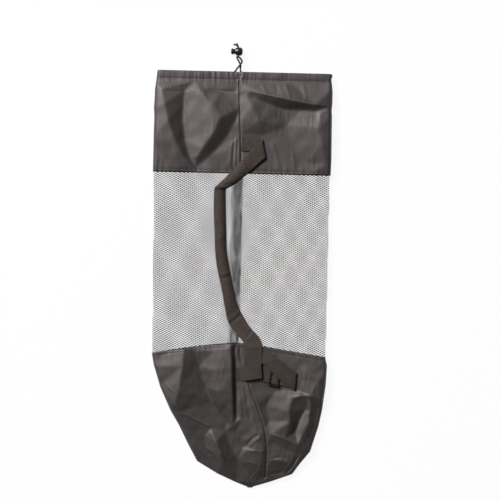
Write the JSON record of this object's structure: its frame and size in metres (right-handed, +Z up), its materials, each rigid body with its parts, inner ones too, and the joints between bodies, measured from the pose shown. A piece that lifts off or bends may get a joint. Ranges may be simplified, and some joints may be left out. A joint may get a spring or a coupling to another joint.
{
  "type": "mesh ball bag",
  "caption": "Flat-lying drawstring bag with taffeta ends, an open net body, a shoulder strap with a slider and a sprung cord lock.",
  "frame": {"origin": "centre of the outline of the flat bag, on the surface that it lies on", "axes": "+Y from the base towards the mouth, +Z up from the surface, +X to the right as seen from above"},
  "size_m": [0.297, 0.7492, 0.0219],
  "materials": {
    "taffeta": "smooth taffeta",
    "net": "open net",
    "webbing": "twill webbing",
    "cord": "braided cord",
    "black_plastic": "gloss",
    "spring_steel": "drawn wire"
  },
  "bodies": {
    "bag": {"top_panel": "taffeta", "mesh_body": "net", "mesh_seam_strip": "net", "bottom_panel": "taffeta", "base_panel": "taffeta", "drawcord_in_hem": "cord", "drawcord_left": "cord", "drawcord_right": "cord", "shoulder_strap": "webbing", "anchor_tab": "webbing"},
    "cord_lock": {"cord_lock_barrel": "black_plastic", "cord_lock_spring": "spring_steel"},
    "plunger": {"cord_lock_plunger": "black_plastic"},
    "slider": {"strap_slider": "black_plastic"}
  },
  "joints": [
    {"name": "cord_lock_slide", "type": "slide", "parent": "bag", "child": "cord_lock", "axis": [0, -1, 0], "range_m": [-0.003, 0.022], "deforming": ["drawcord_left", "drawcord_right"]},
    {"name": "plunger_press", "type": "slide", "parent": "cord_lock", "child": "plunger", "axis": [1, 0, 0], "range_m": [0, 0.003], "stiffness_N_per_m": 1500, "springref_m": -0.001, "deforming": ["cord_lock_spring"]},
    {"name": "slider_slide", "type": "slide", "parent": "bag", "child": "slider", "axis": [0.9869, -0.1611, 0], "range_m": [0, 0.02]}
  ]
}
